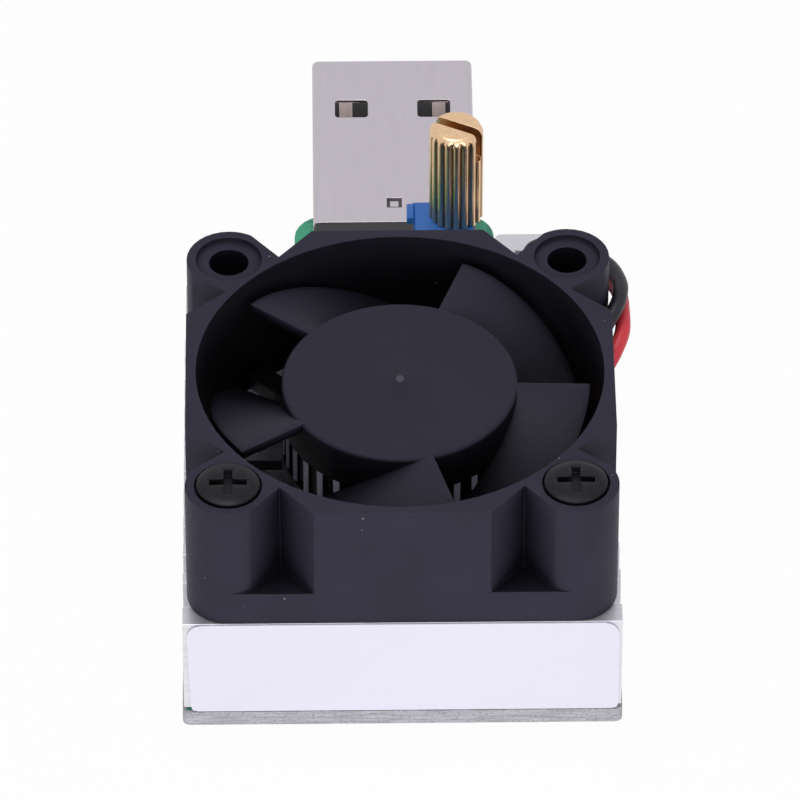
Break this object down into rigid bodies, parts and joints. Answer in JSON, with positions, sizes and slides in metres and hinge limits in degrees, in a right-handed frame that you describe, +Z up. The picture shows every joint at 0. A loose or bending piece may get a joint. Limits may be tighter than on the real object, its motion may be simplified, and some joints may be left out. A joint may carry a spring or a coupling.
{
  "type": "usb load tester",
  "caption": "Fan-cooled USB dummy load: a plug-in board with finned heatsink, axial fan and a knurled trimmer knob that sets the current.",
  "frame": {"origin": "under the middle of the object's length and width, on the surface that it stands on", "axes": "+X to the right, +Y along the board and out of the plug, +Z up out of the fan"},
  "size_m": [0.0319, 0.0662, 0.0225],
  "materials": {
    "solder_mask": "green solder mask over glass fibre",
    "aluminium": "extruded and sawn, satin",
    "thermal_pad": "soft grey filled silicone",
    "label": "blank white film label, satin",
    "plated_screw": "nickel plated",
    "fan_plastic": "moulded black, fine texture",
    "black_screw": "black oxide, semi-gloss",
    "impeller_plastic": "moulded black, satin",
    "steel": "ground",
    "magnet": "bonded ferrite, matt",
    "nylon": "natural nylon",
    "bronze": "sintered bronze",
    "core_steel": "stacked laminations",
    "copper": "enamelled copper wire",
    "black_insulation": "soft vinyl, semi-gloss",
    "red_insulation": "soft vinyl, semi-gloss",
    "header_plastic": "natural white nylon",
    "tinned_pin": "tinned",
    "contact_metal": "thin pale gold flash",
    "blue_plastic": "moulded blue, satin",
    "cermet": "alumina with a printed track",
    "brass": "turned and knurled, bright",
    "seal_rubber": "moulded ring",
    "shell_steel": "nickel-plated steel, folded",
    "plug_black": "moulded black",
    "moulded_black": "moulded epoxy with tinned legs",
    "chip_black": "glazed, tinned ends",
    "chip_tan": "sintered, tinned ends"
  },
  "bodies": {
    "root": {"circuit_board": "solder_mask", "heatsink": "aluminium", "thermal_pad": "thermal_pad", "side_label": "label", "heatsink_screw_left": "plated_screw", "heatsink_screw_right": "plated_screw", "fan_frame": "fan_plastic", "fan_screw_left": "black_screw", "fan_screw_right": "black_screw", "bearing_sleeve": "bronze", "stator_core": "core_steel", "stator_coil_1": "copper", "stator_coil_2": "copper", "stator_coil_3": "copper", "stator_coil_4": "copper", "stator_board": "solder_mask", "fan_lead_black": "black_insulation", "fan_lead_red": "red_insulation", "fan_header": "header_plastic", "header_pin_1": "tinned_pin", "header_pin_2": "tinned_pin", "fan_plug_housing": "header_plastic", "crimp_terminal_1": "contact_metal", "crimp_terminal_2": "contact_metal", "trimmer_case": "blue_plastic", "trimmer_base": "blue_plastic", "resistance_element": "cermet", "trimmer_pin_1": "tinned_pin", "trimmer_pin_2": "tinned_pin", "trimmer_pin_3": "tinned_pin", "trimmer_seal": "seal_rubber", "usb_shell": "shell_steel", "usb_back_cap": "plug_black", "usb_insulator": "plug_black", "usb_contact_1": "contact_metal", "usb_contact_2": "contact_metal", "usb_contact_3": "contact_metal", "usb_contact_4": "contact_metal", "power_transistor": "moulded_black", "sense_resistor": "moulded_black", "amplifier": "moulded_black", "voltage_reference": "moulded_black", "chip_resistor_1": "chip_black", "chip_resistor_2": "chip_black", "chip_resistor_3": "chip_black", "chip_resistor_4": "chip_black", "chip_capacitor_1": "chip_tan", "chip_capacitor_2": "chip_tan", "chip_capacitor_3": "chip_tan"},
    "rotor": {"impeller": "impeller_plastic", "rotor_yoke": "steel", "rotor_magnet": "magnet", "fan_shaft": "steel", "retaining_clip": "nylon"},
    "adjuster": {"trimmer_knob": "brass"},
    "carriage": {"trimmer_carriage": "nylon", "trimmer_wiper": "contact_metal"}
  },
  "joints": [
    {"name": "fan_spin", "type": "hinge", "parent": "root", "child": "rotor", "pos_m": [0, -0.0179, 0.0119], "axis": [0, 0, 1], "continuous": true},
    {"name": "trimmer_turn", "type": "hinge", "parent": "root", "child": "adjuster", "pos_m": [0.0044, 0.0089, 0.0136], "axis": [0, 0, 1], "range_deg": [-4500, 4500]},
    {"name": "carriage_climb", "type": "slide", "parent": "root", "child": "carriage", "axis": [0, 0, 1], "range_m": [-0.0025, 0.0025]}
  ],
  "couplings": [
    {"joint": "trimmer_turn", "follows": "carriage_climb", "rad_per_m": 31416}
  ]
}
